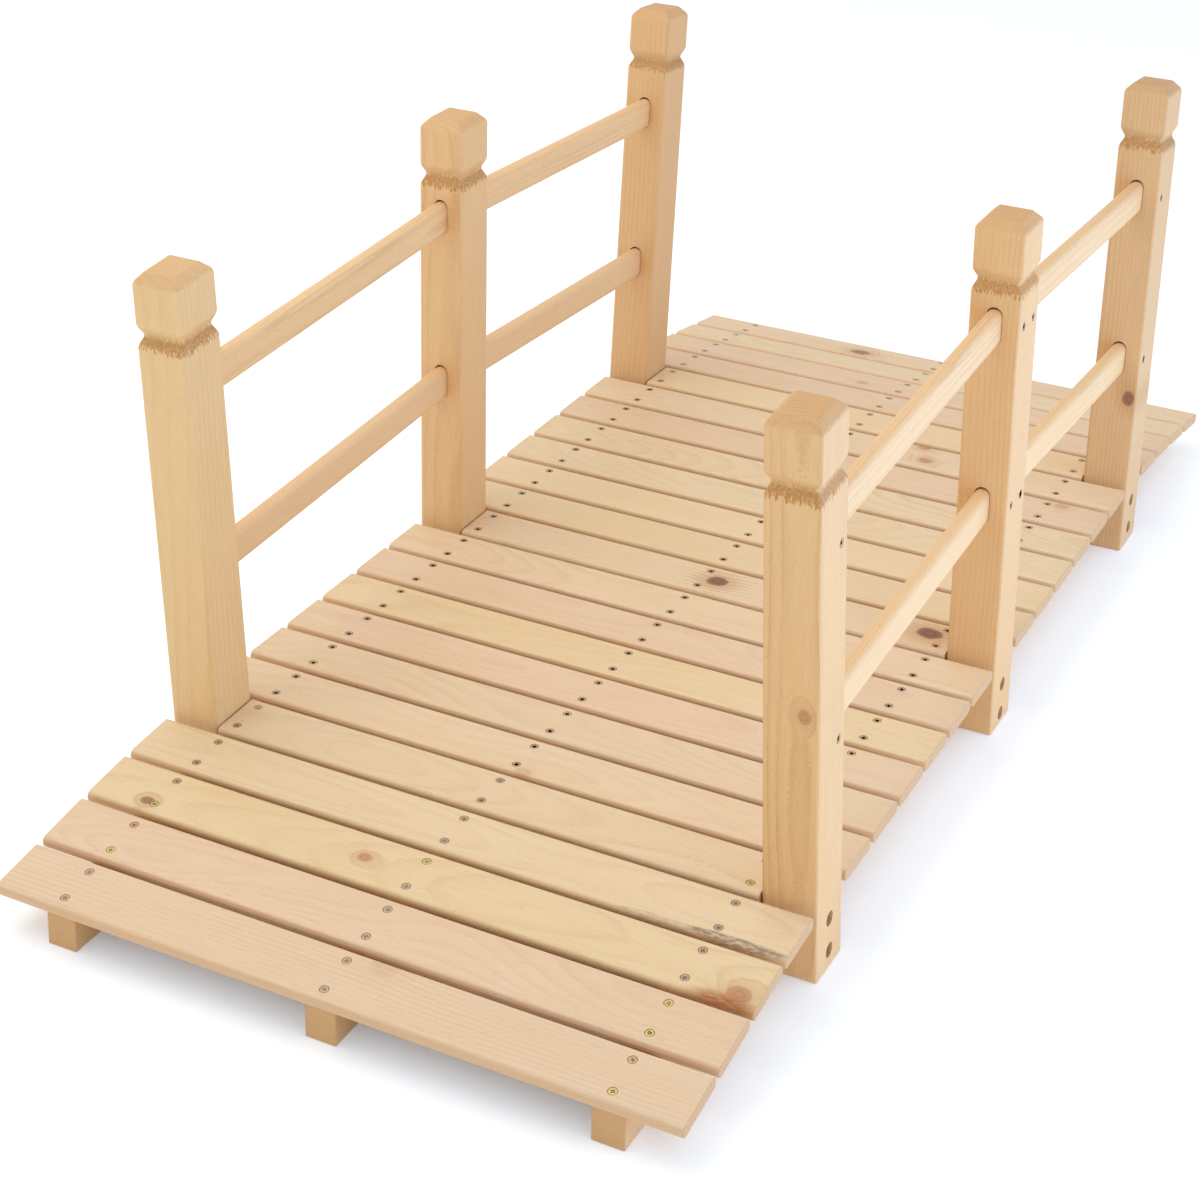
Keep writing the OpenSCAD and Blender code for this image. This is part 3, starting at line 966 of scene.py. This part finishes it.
class FOOTBRIDGE_OT_stage(bpy.types.Operator):
    """Lay the pale floor and set the soft light and the camera"""
    bl_idname = "footbridge.stage"
    bl_label = "Studio"

    def execute(self, context):
        scene = context.scene
        studio = scene.footbridge_stage
        bm = bmesh.new()
        bmesh.ops.create_grid(bm, x_segments=1, y_segments=1, size=studio.floor_reach)
        mesh = bpy.data.meshes.new("studio_floor")
        bm.to_mesh(mesh)
        bm.free()
        floor = bpy.data.objects.new("studio_floor", mesh)
        mesh.materials.append(matt_paper())
        scene.collection.objects.link(floor)

        scene.world = bpy.data.worlds.new("studio_dome")
        scene.world.use_nodes = True
        light = scene.world.node_tree.nodes["Background"]
        light.inputs["Color"].default_value = rgba(studio.dome)
        light.inputs["Strength"].default_value = studio.dome_strength
        scene.view_settings.view_transform = "Standard"

        # The softbox looks at the middle of the floor, and the strip straight across the bridge
        white = (1, 1, 1)
        strip_target = (studio.strip_place.x, 0, studio.strip_place.z)
        for name, size, power, colour, place, target in (
                ("overhead_softbox", (studio.softbox_side, studio.softbox_side),
                 studio.softbox_power, white, studio.softbox_place, (0, 0, 0)),
                ("side_strip", (studio.strip_length, studio.strip_height),
                 studio.strip_power, studio.strip, studio.strip_place, strip_target)):
            data = bpy.data.lights.new(name, "AREA")
            data.shape = "RECTANGLE"
            data.size, data.size_y = size
            data.energy = power
            data.color = colour
            lamp = bpy.data.objects.new(name, data)
            lamp.location = place
            aim = Vector(target) - lamp.location
            lamp.rotation_euler = aim.to_track_quat("-Z", "Y").to_euler()
            scene.collection.objects.link(lamp)

        camera = bpy.data.objects.new("camera", bpy.data.cameras.new("camera"))
        camera.data.sensor_width = 36
        camera.data.lens = studio.lens
        camera.data.shift_x = studio.shift_across
        camera.data.shift_y = studio.shift_up
        camera.data.clip_end = 60
        camera.location = studio.camera_place
        turn = Euler((math.radians(90) - studio.camera_dip, 0, studio.camera_heading)).to_matrix()
        roll = Matrix.Rotation(studio.camera_roll, 3, "Z")
        camera.rotation_euler = (turn @ roll).to_euler()
        scene.collection.objects.link(camera)
        scene.camera = camera
        return {"FINISHED"}


STEPS = (
    FOOTBRIDGE_OT_planks, FOOTBRIDGE_OT_stringers, FOOTBRIDGE_OT_posts, FOOTBRIDGE_OT_rails,
    FOOTBRIDGE_OT_screws, FOOTBRIDGE_OT_bolts, FOOTBRIDGE_OT_stage)


class FOOTBRIDGE_PT_panel(bpy.types.Panel):
    """Lists the footbridge's pieces, sizes and colours"""
    bl_idname = "FOOTBRIDGE_PT_panel"
    bl_label = "Footbridge"
    bl_space_type = "VIEW_3D"
    bl_region_type = "UI"
    bl_category = "Footbridge"

    def draw(self, context):
        for step in STEPS:
            self.layout.operator(step.bl_idname)
        for group in (context.scene.footbridge_timber, context.scene.footbridge_fixings,
                      context.scene.footbridge_stage):
            box = self.layout.box()
            for key in group.__annotations__:
                box.prop(group, key)


GROUPS = {
    "footbridge_timber": FootbridgeTimber,
    "footbridge_fixings": FootbridgeFixings,
    "footbridge_stage": FootbridgeStage,
}


def register():
    for cls in (*GROUPS.values(), *STEPS, FOOTBRIDGE_PT_panel):
        bpy.utils.register_class(cls)
    for key, group in GROUPS.items():
        setattr(bpy.types.Scene, key, bpy.props.PointerProperty(type=group))


def unregister():
    for key in GROUPS:
        delattr(bpy.types.Scene, key)
    for cls in reversed((*GROUPS.values(), *STEPS, FOOTBRIDGE_PT_panel)):
        bpy.utils.unregister_class(cls)


def main():
    register()
    for step in STEPS:
        area, action = step.bl_idname.split(".")
        getattr(getattr(bpy.ops, area), action)()


if __name__ == "__main__":
    main()
